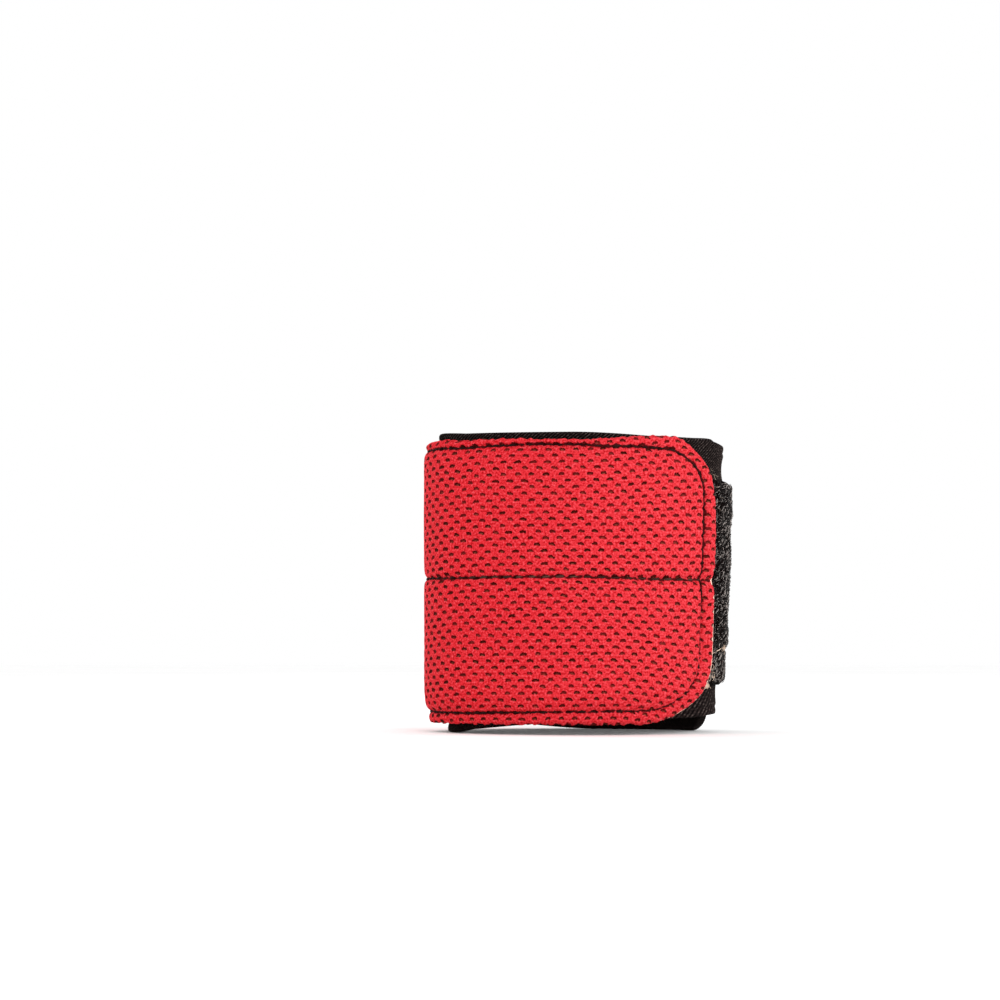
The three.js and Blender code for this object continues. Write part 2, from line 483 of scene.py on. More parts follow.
def red_mesh_finish():
    material, start = new_finish("red_mesh", roughness=DASH_ROUGH[0], gloss=0.03)
    flat = cloth_coords(start)
    across, up, chances = dash_spot(start)
    dash, tongue, lip = dash_masks(flat, across, up, chances)
    grain = flat.cloud(YARN_SCALE, detail=3.0)
    # Random flecks of paler yarn, plus a painted highlight on the raised yarn under each dash.
    fleck_and_highlight = grain + LIP_HIGHLIGHT * lip
    # Painted light and shade: the red is paler towards the free end and deeper round the side that turns
    # away.
    bright = flat.axis(0).step(*PAINTED_LIGHT_SPAN).blend(RED_BRIGHT, RED_PAINTED_LIGHT)
    ground = fleck_and_highlight.step(*BRIGHT_SPAN).blend(RED_DEEP, bright)
    ground = (fleck_and_highlight.step(*PINK_SPAN) * PINK_SHARE).blend(ground, RED_PINK)
    dark = (tongue * between(*TONGUE_SHARE, chances[2])).blend(DASH_DARK, DASH_MIDDLE)
    cloth = (dash * between(*DASH_SHARE, chances[0])).blend(ground, dark)
    # Painted shade: the cloth darkens in a ragged band along the hem and seam lines, as shade in the grooves
    # under the thread.
    from_thread = stored(start, THREAD_NAME) + (flat.cloud(GROOVE_SHADE_GRAIN) - 0.5) * GROOVE_SHADE_RAGGED
    groove = from_thread.step(*GROOVE_SHADE_SPAN)
    links = {
        "Base Color": (groove * GROOVE_SHADE_SHARE).blend(cloth, GROOVE_PAINTED_SHADE),
        "Roughness": between(*DASH_ROUGH, dash),
        "Normal": (grain - dash * DASH_SUNK).bump(MESH_RELIEF, MESH_RELIEF_SHARE),
    }
    apply_finish(material, links)
    return material


red_mesh = red_mesh_finish()
print(f"{red_mesh.name}: {len(red_mesh.node_tree.nodes)} nodes")

# %% [markdown]
# ## The flap's outline
# The flap is a long rectangle with a rounded free end. Its upper corner is the taller one,
# its lower corner the longer one. Most of what happens on the flap depends on how far a spot is
# from the edge: the rounded rim, the hem, the stitch line and the padding.
# A small class holds such an outline, because the hem's stitch line is one as well, a little smaller.

# %% Measure from an outline
CORNER_STEPS = 40


class Outline:
    """A rectangle on the flat drawing with two rounded corners at its far end."""

    def __init__(self, start, end, low, high, lower_corner, upper_corner):
        """A corner is a reach along the flap, a rise across it and a power, 2 for an ellipse."""
        self.start, self.end, self.low, self.high = start, end, low, high
        self.lower_corner = lower_corner
        self.upper_corner = upper_corner

    def corners(self, u, v):
        """How far spots lie into the nearer corner, along and across, and as a share of its curve."""
        upper = v > (self.low + self.high) / 2
        sizes = zip(self.upper_corner, self.lower_corner)
        reach, rise, power = (np.where(upper, *pair) for pair in sizes)
        along = np.maximum(u - (self.end - reach), 0)
        across = np.maximum(np.where(upper, v - (self.high - rise), self.low + rise - v), 0)
        share = ((along / reach) ** power + (across / rise) ** power) ** (1 / power)
        return along, across, np.where((along > 0) & (across > 0), share, 0)

    def inset(self, u, v):
        """Distance from the edge in millimetres, below zero outside it."""
        along, across, share = self.corners(u, v)
        in_round = np.hypot(along, across) * (1 / np.maximum(share, TINY) - 1)
        from_ends = np.minimum(self.end - u, u - self.start)
        straight = np.minimum(from_ends, np.minimum(self.high - v, v - self.low))
        return np.where(share > 0, in_round, straight)

    def onto_edge(self, u, v):
        """Moves spots that lie outside the outline onto its edge."""
        along, across, share = self.corners(u, v)
        shrink = 1 - 1 / np.maximum(share, 1)
        outward = np.where(v > (self.low + self.high) / 2, 1, -1)
        u = np.clip(u - along * shrink, self.start, self.end)
        return u, np.clip(v - across * shrink * outward, self.low, self.high)

    def line(self):
        """The outline as a closed line, from its upper start over the free end and back."""
        angle = np.linspace(0, math.pi / 2, CORNER_STEPS)
        reach, rise, power = self.upper_corner
        upper_u = self.end - reach * (1 - np.sin(angle) ** (2 / power))
        upper_v = self.high - rise * (1 - np.cos(angle) ** (2 / power))
        reach, rise, power = self.lower_corner
        lower_u = self.end - reach * (1 - np.cos(angle) ** (2 / power))
        lower_v = self.low + rise * (1 - np.sin(angle) ** (2 / power))
        u = [self.start, *upper_u, *lower_u, self.start, self.start]
        return np.stack([u, [self.high, *upper_v, *lower_v, self.low, self.high]], axis=1)


print(f"an outline's corners are drawn in {CORNER_STEPS} steps each")


# %% Draw the flap
def heights_of(node):
    """The lowest and the highest point of a CAD node in millimetres."""
    low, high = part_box(node)
    return low.z / MM, high.z / MM


FLAP_LOW = heights_of("mesh_flap")[0]
FLAP_TOP = 66.3
SEAM = 35.0
FLAP_ROOT = -166.0
FLAP_FREE_END = 41.5
SPARE_TURN = 5.0
BAND_THICK = 1.8
GAP = 0.3
BAND_LAP = BAND_THICK + GAP
ON_BAND = 2 * BAND_LAP
COVER_RISE = 4.5
COVER_OFFSET = ON_BAND + COVER_RISE
UPPER_CORNER = (12.6, 20.5, 2.2)
LOWER_CORNER = (18.9, 15.5, 2.08)
HEM_TOP = 2.0
HEM_LOW = 2.3
HEM_END = 4.1
HEM_UPPER_CORNER = (11.5, 13.5, 2.3)
HEM_LOWER_CORNER = np.subtract(LOWER_CORNER, (HEM_END, HEM_LOW, 0))
FLAP_TURNS, FLAP_LENGTHS = ruler(FLAP_ROOT, FLAP_FREE_END + SPARE_TURN, COVER_OFFSET)
FLAP_LENGTH = np.interp(FLAP_FREE_END, FLAP_TURNS, FLAP_LENGTHS)
flap_edge = Outline(0, FLAP_LENGTH, FLAP_LOW, FLAP_TOP, LOWER_CORNER, UPPER_CORNER)
hem = Outline(
    HEM_END, FLAP_LENGTH - HEM_END, FLAP_LOW + HEM_LOW, FLAP_TOP - HEM_TOP, HEM_LOWER_CORNER, HEM_UPPER_CORNER
)
print(f"flap: {FLAP_LENGTH:.1f} x {FLAP_TOP - FLAP_LOW:.1f} mm, measured on its outer face")

# %% Bend the flap over the patches
LOOP_LOW, LOOP_HIGH = heights_of("loop_patch")
SEAM_MARKS = [(-110, 35.5), (-8, 35.0), (24, 34.5)]
TOP_MARKS = [(-110, 67.6), (-60, 67.1), (-30, 66.4), (-2, 65.8), (24, 67.0)]
CLIMB_START = -80.0
CLIMB_END = 3.0
PATCH_STACK = 2.9
SAG_MARGIN = 0.6
SAG_REACH = 7.7
SAG_KEEP = 0.25
NOTCH_DEPTH = 1.1
NOTCH_REACH = 3.2
NOTCH_FADE = 9.0


def flap_seat(turn, height):
    """Offset of the flap's inner face: over the patches in its middle, lower along its edges."""
    past = np.maximum(height - LOOP_HIGH, LOOP_LOW - height) - SAG_MARGIN
    sag = between(1, SAG_KEEP, ease(past, 0, SAG_REACH))
    return ON_BAND + PATCH_STACK * sag * ease(turn, CLIMB_START, CLIMB_END)


def flap_height(turn, v):
    """Height above the floor. Seam and top edge are straight on the drawing but wander a little in place."""
    seam = read_marks(SEAM_MARKS, turn)
    top = read_marks(TOP_MARKS, turn)
    upper = seam + (v - SEAM) * (top - seam) / (FLAP_TOP - SEAM)
    lower = FLAP_LOW + (v - FLAP_LOW) * (seam - FLAP_LOW) / (SEAM - FLAP_LOW)
    return np.where(v > SEAM, upper, lower)


def flap_bend(u, v, over):
    """Bends spots of the flap that stand a height over its inner face. The seam draws the free end in."""
    at_seam = 1 - ease(np.abs(v - SEAM), 0, NOTCH_REACH)
    near_end = 1 - ease(FLAP_LENGTH - u, 0, NOTCH_FADE)
    turn = np.interp(u - NOTCH_DEPTH * at_seam * near_end, FLAP_LENGTHS, FLAP_TURNS)
    height = flap_height(turn, v)
    return bend(turn, flap_seat(turn, height) + over, height)


free_end = flap_bend(np.array([FLAP_LENGTH]), np.array([SEAM]), 0)[0] / MM
print("the seam reaches the free end at", free_end.round(1), "mm")

# %% [markdown]
# ## Stitch lines
# A line of stitches runs round the flap a little inside its edge, and another divides it along its middle.
# Thread pulls the cover down to the backing, so these lines decide where the padding can rise.
# The needle holes sit along them at even steps. The hem is sewn by eye, so its line drifts a little.

# %% Lay out the stitch lines
HEM_STITCH = 2.2
SEAM_STITCH = 3.0
LINE_STEP = 0.25
UPPER_HEM_MARKS = [(60, 0.0), (73, -0.3), (82, -0.7), (92, -0.65), (98, 0.0), (110, 0.9), (118, 0.9)]
LOWER_HEM_MARKS = [(62, -0.1), (75, -0.35), (90, -0.6), (105, -0.8), (115, -0.6)]


def hem_drift(u, v):
    """How far the hem has wandered down. Its upper line is uneven, its lower one climbs."""
    upper = read_marks(UPPER_HEM_MARKS, u) * ease(v - SEAM, 0, FLAP_TOP - SEAM)
    return upper + read_marks(LOWER_HEM_MARKS, u) * ease(SEAM - v, 0, SEAM - FLAP_LOW)


def hem_inset(u, v):
    """Distance from the hem line in millimetres, below zero outside it."""
    return hem.inset(u, v + hem_drift(u, v))


def even_steps(corners, step):
    """Spots at even steps along a line of short straight stretches."""
    lengths = np.concatenate([[0], np.cumsum(np.hypot(*np.diff(corners, axis=0).T))])
    marks = np.linspace(0, lengths[-1], round(lengths[-1] / step) + 1)
    return np.stack([np.interp(marks, lengths, column) for column in corners.T], axis=1)


def hem_spots(step):
    """Spots at even steps along the hem line."""
    u, v = even_steps(hem.line(), step).T
    return np.stack([u, v - hem_drift(u, v)], axis=1)


seam_line = np.array([(HEM_END, SEAM), (FLAP_LENGTH, SEAM)])
hem_holes = hem_spots(HEM_STITCH)
seam_holes = even_steps(seam_line, SEAM_STITCH)
stitch_lines = np.concatenate([hem_spots(LINE_STEP), even_steps(seam_line, LINE_STEP)])
print(f"{len(hem_holes) - 1} hem stitches and {len(seam_holes) - 1} seam stitches")

# %% [markdown]
# ## Padding by simulation
# Between its stitch lines the flap swells into two long pillows with small puckers beside the thread.
# They could be sculpted, but cloth finds them by itself: a flat sheet is pinned along the stitch lines,
# made a little too large, and blown up from below. The sheet is simulated a hundred times its size,
# because Blender's cloth is tuned for things as large as furniture.
# Foam can't swell without limit, so the rise is capped.

# %% Lay the foam
PAD_CELL = 1.1
PAD_RISE = 1.0
PAD_SHOULDER = 6.0
SEAM_LIFT = 0.55


def seam_bed(u, v):
    """The foam's own height, which lifts the middle seam over the hem. The simulation starts from it."""
    return SEAM_LIFT * ease(hem_inset(u, v), 0, PAD_SHOULDER)


def plain_pad(u, v):
    from_thread = np.minimum(hem_inset(u, v), np.abs(v - SEAM))
    return seam_bed(u, v) + (PAD_RISE - SEAM_LIFT) * ease(from_thread, 0, PAD_SHOULDER)


pad_columns = math.ceil(FLAP_LENGTH / PAD_CELL) + 1
pad_rows = math.ceil((FLAP_TOP - FLAP_LOW) / PAD_CELL) + 1
pad_v, pad_u = (grid.ravel() * PAD_CELL for grid in np.mgrid[:pad_rows, :pad_columns])
pad_v = pad_v + FLAP_LOW
pad_heights = plain_pad(pad_u, pad_v)
print(f"foam laid over a grid of {pad_columns} x {pad_rows} spots")

# %% Blow up a pinned sheet
PAD_SCALE = 0.1
PAD_FRAMES = 24
PINNED = "stitched"
PAD_CLOTH = {
    "quality": 6,
    "mass": 0.2,
    "tension_stiffness": 30,
    "compression_stiffness": 30,
    "bending_stiffness": 0.4,
    "air_damping": 4,
    "shrink_min": -0.03,
    "use_pressure": True,
    "uniform_pressure_force": 6.0,
    "vertex_group_mass": PINNED,
}


def blown_pad(u, v, columns):
    """Heights of a pinned sheet of cloth after it is blown up, at the spots of a regular grid."""
    sheet = flat_grid(columns - 1, len(u) // columns - 1, 1, 1)
    mesh = bpy.data.meshes.new("pad_trial")
    sheet.to_mesh(mesh)
    sheet.free()
    mesh.vertices.foreach_set("co", np.stack([u, v, seam_bed(u, v)], axis=1).ravel() * PAD_SCALE)
    mesh.update()
    trial = bpy.data.objects.new("pad_trial", mesh)
    bpy.context.scene.collection.objects.link(trial)
    held = (hem_inset(u, v) < 0) | (np.abs(v - SEAM) < PAD_CELL / 2)
    trial.vertex_groups.new(name=PINNED).add(np.flatnonzero(held).tolist(), 1.0, "REPLACE")
    cloth = trial.modifiers.new("Cloth", "CLOTH")
    for key, value in PAD_CLOTH.items():
        setattr(cloth.settings, key, value)
    cloth.settings.effector_weights.gravity = 0
    cloth.point_cache.frame_end = PAD_FRAMES
    for number in range(1, PAD_FRAMES + 1):
        bpy.context.scene.frame_set(number)
    blown = trial.evaluated_get(bpy.context.evaluated_depsgraph_get())
    spots = np.empty(3 * len(u))
    blown.data.vertices.foreach_get("co", spots)
    bpy.context.scene.frame_set(1)
    bpy.data.objects.remove(trial)
    bpy.data.meshes.remove(mesh)
    return spots[2::3] / PAD_SCALE


pad_heights = blown_pad(pad_u, pad_v, pad_columns)
pad_heights = PAD_RISE * np.tanh(pad_heights / PAD_RISE)
full_share = np.mean(pad_heights > PAD_RISE / 2)
print(f"padding rises {pad_heights.max():.2f} mm, and {full_share:.0%} of it stands over half of that")
pad_heights = pad_heights.reshape(pad_rows, pad_columns)

# %% [markdown]
# ## The cover's surface
# The height of the cover is a sum of what sewing does to cloth: a rim turned down at the edge,
# a soft lip outside the stitch line, the padding inside it, a groove under the thread
# and a dimple at each needle hole.
# Each dash of the mesh is a shallow dent too, so that the pattern catches light from the side.

# %% Read heights and distances on the drawing
LAST_CELL = 1.001


def pad_height(u, v):
    """Reads the padding's height between the spots of its grid."""
    column = np.clip(u / PAD_CELL, 0, pad_columns - LAST_CELL)
    row = np.clip((v - FLAP_LOW) / PAD_CELL, 0, pad_rows - LAST_CELL)
    left, low = column.astype(int), row.astype(int)
    right, up = column - left, row - low
    lower = between(pad_heights[low, left], pad_heights[low, left + 1], right)
    upper = between(pad_heights[low + 1, left], pad_heights[low + 1, left + 1], right)
    return between(lower, upper, up)


def nearest(points, u, v):
    """Distance from each flat spot to the nearest of some points."""
    tree = KDTree(len(points))
    for number, (x, y) in enumerate(points):
        tree.insert((x, y, 0), number)
    tree.balance()
    return np.array([tree.find((x, y, 0))[2] for x, y in zip(u, v)])


def rough(u, v, size):
    """Smooth noise over flat spots, in lumps of about some size."""
    return np.array([noise.noise((x / size, y / size, 0)) for x, y in zip(u, v)])


def round_over(inset, radius):
    """The drop of a rounded rim as a share: 1 at the edge and 0 from a radius inside it."""
    return 1 - np.sqrt(1 - (1 - np.clip(inset / radius, 0, 1)) ** 2)


def hollow(distance, width):
    """The depth of a soft hollow as a share: 1 on its line, fading out over its width."""
    return np.exp(-((distance / width) ** 2))


print(f"a hollow is {hollow(1, 1):.2f} deep at its width and {hollow(2, 1):.2f} at twice that")

# %% Work out the cover's height
CORE = 0.95
STITCHED = 2.3
LIP_RISE = 0.5
EDGE_DROP = 1.0
EDGE_ROUND = 1.2
CURL = 0.3
CURL_RISE = 8.0
CURL_REACH = (58.0, 80.0)
CURL_FLAT = 0.7
GROOVE_DEPTH = 0.38
GROOVE_WIDTH = 0.6
HOLE_DEPTH = 0.22
HOLE_WIDTH = 0.6
UNEVEN = 0.12
UNEVEN_SIZE = 11.0


def cover_height(u, v):
    """Height of the cover over the flap's inner face. Its lower left edge is curled in and flatter."""
    inset = np.maximum(flap_edge.inset(u, v), 0)
    curled = (1 - ease(v - FLAP_LOW, 0, CURL_RISE)) * (1 - ease(u, *CURL_REACH))
    fullness = 1 - CURL_FLAT * curled
    rim_drop = EDGE_DROP * fullness * round_over(inset, EDGE_ROUND)
    to_line = nearest(stitch_lines, u, v)
    share = np.where(hem_inset(u, v) < 0, inset / np.maximum(inset + to_line, TINY), 0)
    lip = LIP_RISE * fullness * 4 * share * (1 - share)
    groove = GROOVE_DEPTH * hollow(to_line, GROOVE_WIDTH)
    holes = np.concatenate([hem_holes, seam_holes])
    dimple = HOLE_DEPTH * hollow(nearest(holes, u, v), HOLE_WIDTH)
    sewn = STITCHED + lip - rim_drop - CURL * curled - groove - dimple
    return sewn + pad_height(u, v) + UNEVEN * rough(u, v, UNEVEN_SIZE)


middle_height = cover_height(np.array([FLAP_LENGTH / 2]), np.array([(SEAM + FLAP_TOP) / 2]))[0]
print(f"the upper pillow stands {middle_height:.1f} mm over the flap's inner face")

# %% [markdown]
# The knit isn't quite even. It is stretched where it bends round the side, its columns are closer together
# in the middle, its rows spread towards the free end, and the lower half leans more than the upper one.
# Counting columns along the bent flap takes care of all that.

# %% Count the columns and rows of the knit
PITCH_MARKS = [(-115, 3.3), (-72, 4.8), (-52, 4.2), (-34, 3.45), (8, 2.96), (32, 3.1)]
KNIT_LEAN_UPPER = 0.012
KNIT_LEAN_LOWER = 0.07
KNIT_CLIMB = 0.015
SIDE_DROP = 0.8
SIDE_REACH = (45.0, 68.0)
ROW_SPREAD_UPPER = 0.05
ROW_SPREAD_LOWER = 0.11
SPREAD_LENGTH = 26.0
DENT_DEPTH = 0.3
column_widths = read_marks(PITCH_MARKS, FLAP_TURNS[1:])
COLUMN_COUNTS = np.concatenate([[0], np.cumsum(np.diff(FLAP_LENGTHS) / column_widths)])


def knit_counts(u, v):
    """Column and row of the mesh at a flat spot."""
    from_seam = v - SEAM
    lean = np.where(from_seam > 0, KNIT_LEAN_UPPER, KNIT_LEAN_LOWER)
    spread = np.where(from_seam > 0, ROW_SPREAD_UPPER, ROW_SPREAD_LOWER)
    row_height = DASH_ROW * (1 + spread * ease(u, FLAP_LENGTH - SPREAD_LENGTH, FLAP_LENGTH))
    climb = KNIT_CLIMB * (FLAP_LENGTH - u) + SIDE_DROP * (1 - ease(u, *SIDE_REACH))
    columns = np.interp(u - lean * from_seam, FLAP_LENGTHS, COLUMN_COUNTS)
    return columns, (from_seam + climb) / row_height


def dash_dents(u, v):
    """Depth of the dents that the dark dashes make."""
    column, row = knit_counts(u, v)
    across = ((column + 0.5 * (np.floor(row) % 2)) % 1 - 0.5) * DASH_PITCH / DASH_HALF[1]
    up = (row % 1 - 0.5) * DASH_ROW / DASH_RISE
    return DENT_DEPTH * np.exp(-(across**4) - up**2)


print(f"{COLUMN_COUNTS[-1]:.0f} columns of dashes round the flap")

# %% Mark the knit and the thread on the cover
LOOSE_START = 18.0
LOOSE_FULL = 8.0
LOOSE_SHADE_GAP = 0.2
LOOSE_FOOT = (70.0, 90.0)
LOOSE_FOOT_SHARE = 0.4
SHADE_WIDE_REACH = (88.0, 104.0)
SHADE_WIDENING = 0.12


def loose_hem(u, v):
    """How loosely the hem is sewn, from 0 to 1. Round the lower corner the cover half hides it."""
    near_end = ease(u, FLAP_LENGTH - LOOSE_START, FLAP_LENGTH - LOOSE_FULL)
    loose = between(near_end, ease(u, *LOOSE_FOOT), LOOSE_FOOT_SHARE)
    return loose * ease(SEAM - v, HEM_LOW, HEM_LOW + NOTCH_FADE)


def groove_shade_widening(u, v):
    """How much wider the painted shade along the hem is, from 0 to 1. It is widest round the upper free
    corner.
    """
    return ease(u, *SHADE_WIDE_REACH) * ease(v - SEAM, 0, NOTCH_FADE)


def mark_knit(piece):
    """Adds a UV map that counts columns and rows, and the distance from the nearest line of thread, which
    sets the painted shade in the grooves.
    """
    flat_map = piece.data.uv_layers[UV_NAME].data
    spots = np.empty(2 * len(flat_map))
    flat_map.foreach_get("uv", spots)
    u, v = spots.reshape(-1, 2).T
    counts = np.stack(knit_counts(u, v), axis=1)
    piece.data.uv_layers.new(name=KNIT_NAME).data.foreach_set("uv", counts.ravel())
    from_seam = np.where(u > HEM_END, np.abs(v - SEAM), FLAP_TOP)
    to_thread = np.minimum(np.abs(hem_inset(u, v)), from_seam)
    # The painted shade along the hem is narrower where the hem is loose and wider round the upper free
    # corner.
    to_thread = to_thread + LOOSE_SHADE_GAP * loose_hem(u, v) - SHADE_WIDENING * groove_shade_widening(u, v)
    piece.data.attributes.new(THREAD_NAME, "FLOAT", "CORNER").data.foreach_set("value", to_thread)


print(f"the hem loosens over the last {LOOSE_START:.0f} mm of the flap's lower edge")

# %% [markdown]
# Now the cover itself. A fine grid is laid on the flat drawing, the faces outside the outline are deleted,
# and what sticks out is pulled back onto the edge, as a panel is trimmed before it is sewn.
# The edge is extruded down to a rim, and one large face closes the underside.
# Cuts across that face let it follow the bend.

# %% Cut a panel to the flap's outline
UNDER_CELL = 5.2


def flap_panel(cell_u, cell_v, layer):
    """A flat grid with cells of about some size, trimmed to the flap's outline."""
    columns = math.ceil(FLAP_LENGTH / cell_u)
    rows = math.ceil((FLAP_TOP - FLAP_LOW) / cell_v)
    flat = flat_grid(columns, rows, columns * cell_u, rows * cell_v, (0, FLAP_LOW, layer))
    spots = np.array([vert.co for vert in flat.verts])
    outside = flap_edge.inset(spots[:, 0], spots[:, 1]) <= 0
    spare = [face for face in flat.faces if all(outside[vert.index] for vert in face.verts)]
    bmesh.ops.delete(flat, geom=spare, context="FACES")
    spots = np.array([vert.co for vert in flat.verts])
    u, v = flap_edge.onto_edge(spots[:, 0], spots[:, 1])
    for vert, x, y in zip(flat.verts, u, v):
        vert.co.xy = (x, y)
    return flat


def close_underside(flat):
    """Extrudes the border down by one unit and fills the loop with faces that can bend."""
    border = [edge for edge in flat.edges if edge.is_boundary]
    rim = bmesh.ops.extrude_edge_only(flat, edges=border)["geom"]
    lower = [item for item in rim if isinstance(item, bmesh.types.BMVert)]
    bmesh.ops.translate(flat, verts=lower, vec=(0, 0, -1))
    loop = [edge for edge in flat.edges if edge.is_boundary]
    under = bmesh.ops.contextual_create(flat, geom=loop)["faces"]
    parts = [*under, *under[0].edges, *under[0].verts]
    cuts = [((u, 0, 0), (1, 0, 0)) for u in np.arange(UNDER_CELL, FLAP_LENGTH, UNDER_CELL)]
    cuts += [((0, v, 0), (0, 1, 0)) for v in np.arange(FLAP_LOW + UNDER_CELL, FLAP_TOP, UNDER_CELL)]
    for place, across in cuts:
        parts = bmesh.ops.bisect_plane(flat, geom=parts, plane_co=place, plane_no=across)["geom"]
    wide = [item for item in parts if isinstance(item, bmesh.types.BMFace) and len(item.verts) > 4]
    bmesh.ops.triangulate(flat, faces=wide)
    bmesh.ops.recalc_face_normals(flat, faces=flat.faces)


CELL_U = DASH_PITCH / 10
CELL_V = DASH_ROW / 5
cover_flat = flap_panel(CELL_U, CELL_V, 1)
close_underside(cover_flat)
print(f"cover drawn with {len(cover_flat.faces)} faces")

# %% Sew the cover
RIM_FRAY = 0.36
RIM_FRAY_SIZE = 0.9


def cover_place(u, v, layer):
    """Bends the cover's two faces and frays its rim."""
    over = np.full(len(u), CORE)
    top = layer > 0.5
    over[top] = cover_height(u[top], v[top]) - dash_dents(u[top], v[top])
    fray = RIM_FRAY * (1 - ease(flap_edge.inset(u, v), 0, EDGE_ROUND))
    return flap_bend(u + fray * rough(u, v, RIM_FRAY_SIZE), v + fray * rough(v, u, RIM_FRAY_SIZE), over)


cover = sew("mesh_flap_cover", cover_flat, cover_place, "red_mesh", red_mesh)
mark_knit(cover)
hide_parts("mesh_flap")

# %% [markdown]
# ## The backing and its cut edge
# Under the red cover lies a thin cream foam with a dark lining. It was cut about a millimetre off the cover,
# so a pale line shows along the lower right edge of the flap.
# The backing is the same outline, drawn coarser, moved that little bit and thickened.

# %% Finish the foam and the lining
FOAM_GRAIN = 5.0
LINING_WAVE = 9.0
FINE_RELIEF = 0.0001
CREAM = shade(248, 220, 202)
CREAM_DARK = shade(222, 172, 152)
LINING = shade(40, 32, 33)
LINING_LIGHT = shade(66, 56, 56)
cream_foam = two_tone_finish(
    "cream_foam",
    roughness=0.9,
    gloss=0.2,
    pattern=lambda start: cloth_coords(start).cloud(FOAM_GRAIN, detail=3.0),
    span=(0.35, 0.65),
    tones=(CREAM_DARK, CREAM),
    relief=FINE_RELIEF,
)
dark_lining = two_tone_finish(
    "dark_lining",
    roughness=0.85,
    gloss=0.25,
    pattern=lambda start: cloth_coords(start).rows(0, 1, LINING_WAVE),
    span=(-0.8, 0.9),
    tones=(LINING, LINING_LIGHT),
    relief=FINE_RELIEF,
)
print(f"finishes of the backing: {cream_foam.name} and {dark_lining.name}")

# %% Back the flap
BACKING_CELL = 1.3
BACKING_SHIFT_U = 0.95
BACKING_SHIFT_V = 0.25
BACKING_THICK = 1.05
BACKING_TUCK = 0.6
SHIFT_FADE = 10.0
backing_flat = flap_panel(BACKING_CELL, BACKING_CELL, 0)
thicken(backing_flat)
for face in backing_flat.faces:
    face.material_index = int(face.normal.z < -0.5)


def backing_place(u, v, layer):
    """Shifts the backing out below the seam and tucks it in above."""
    upper = ease(v - SEAM, 0, SHIFT_FADE)
    u = u + BACKING_SHIFT_U * (1 - upper)
    v = v + BACKING_SHIFT_V * (1 - upper) - BACKING_TUCK * upper
    return flap_bend(u, v, layer * BACKING_THICK)


backing = sew("mesh_flap_backing", backing_flat, backing_place, "red_mesh", cream_foam, dark_lining)
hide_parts("mesh_flap")

# %% [markdown]
# ## Thread
# Every stitch is a short dark bar that rises a little between its two needle holes. A painted line would
# vanish from the side, so each one is a bead stretched from hole to hole, sunk at its ends
# and laid in the groove. No two are pulled quite alike, so thickness, depth and colour are drawn by lot.
# The colour is a painted highlight that lightens the dark thread towards brown, more on the seam than on the
# hem.

# %% Draw lots for the stitches
SEED = 7
HEM_THREAD = 0.23
SEAM_THREAD = 0.25
HEM_COVER = 1.0
SEAM_COVER = 0.68
HEM_HIGHLIGHT = (0.0, 0.15)
SEAM_HIGHLIGHT = (0.2, 1.0)
STITCH_HIGHLIGHT_REACH = (58.0, 76.0)
THREAD_UNEVEN = (0.75, 1.3)
THREAD_SINK = (0.0, 0.25)
LOOSE_SINK = 0.7
dice = np.random.default_rng(SEED)
stitch_starts = np.concatenate([hem_holes[:-1], seam_holes[:-1]])
stitch_ends = np.concatenate([hem_holes[1:], seam_holes[1:]])
stitch_total = len(stitch_starts)
stitch_counts = [len(hem_holes) - 1, len(seam_holes) - 1]
# Painted highlight: each stitch's share of lit brown is small on the hem, larger on the seam and nil on the
# part nearer the flap's root.
hem_highlights = dice.uniform(*HEM_HIGHLIGHT, stitch_counts[0])
seam_highlights = dice.uniform(*SEAM_HIGHLIGHT, stitch_counts[1])
stitch_highlights = np.concatenate([hem_highlights, seam_highlights]) * ease(stitch_starts[:, 0], *STITCH_HIGHLIGHT_REACH)
stitch_covers = np.repeat([HEM_COVER, SEAM_COVER], stitch_counts)
stitch_radii = np.repeat([HEM_THREAD, SEAM_THREAD], stitch_counts)
stitch_radii = stitch_radii * dice.uniform(*THREAD_UNEVEN, stitch_total)
stitch_sinks = dice.uniform(*THREAD_SINK, stitch_total)
stitch_sinks = stitch_sinks + LOOSE_SINK * loose_hem(*stitch_starts.T) * dice.random(stitch_total)
stitch_runs = stitch_ends - stitch_starts
stitch_sides = np.stack([-stitch_runs[:, 1], stitch_runs[:, 0]]) / np.hypot(*stitch_runs.T)
print(f"thread from {2 * stitch_radii.min():.2f} to {2 * stitch_radii.max():.2f} mm thick")

# %% Stitch the flap
THREAD_TWIST = 0.2
THREAD_RISE = 0.12
THREAD_GRAIN = 5200.0
THREAD_SHINE = (0.4, 1.0)
THREAD_SHINE_SPAN = (0.4, 0.65)
THREAD_RELIEF = 0.00005
THREAD_DARK = shade(26, 5, 4)
THREAD_HIGHLIGHT = shade(94, 68, 56)


def thread_finish(name, dark, light):
    material, start = new_finish(name, roughness=0.8, gloss=0.1)
    twist = object_coords(start).cloud(THREAD_GRAIN, detail=1.0)
    # The stored share blends the dark thread towards a painted highlight, flecked along its twist.
    tint = stored(start, TINT_NAME) * between(*THREAD_SHINE, twist.step(*THREAD_SHINE_SPAN))
    apply_finish(material, {"Base Color": tint.blend(dark, light), "Normal": twist.bump(THREAD_RELIEF)})
    return material


def stitch_place(index, along, side, lift):
    """Lays a bead from hole to hole along its stitch line."""
    radius = stitch_radii[index]
    reach = 0.5 + (along - 0.5) * stitch_covers[index]
    u, v = (stitch_starts[index] + stitch_runs[index] * reach[:, None]).T
    over = cover_height(u, v) + THREAD_RISE * np.sin(math.pi * along) - stitch_sinks[index] + radius * lift
    sideways = radius * side + THREAD_TWIST * (along - 0.5)
    return flap_bend(u + stitch_sides[0, index] * sideways, v + stitch_sides[1, index] * sideways, over)


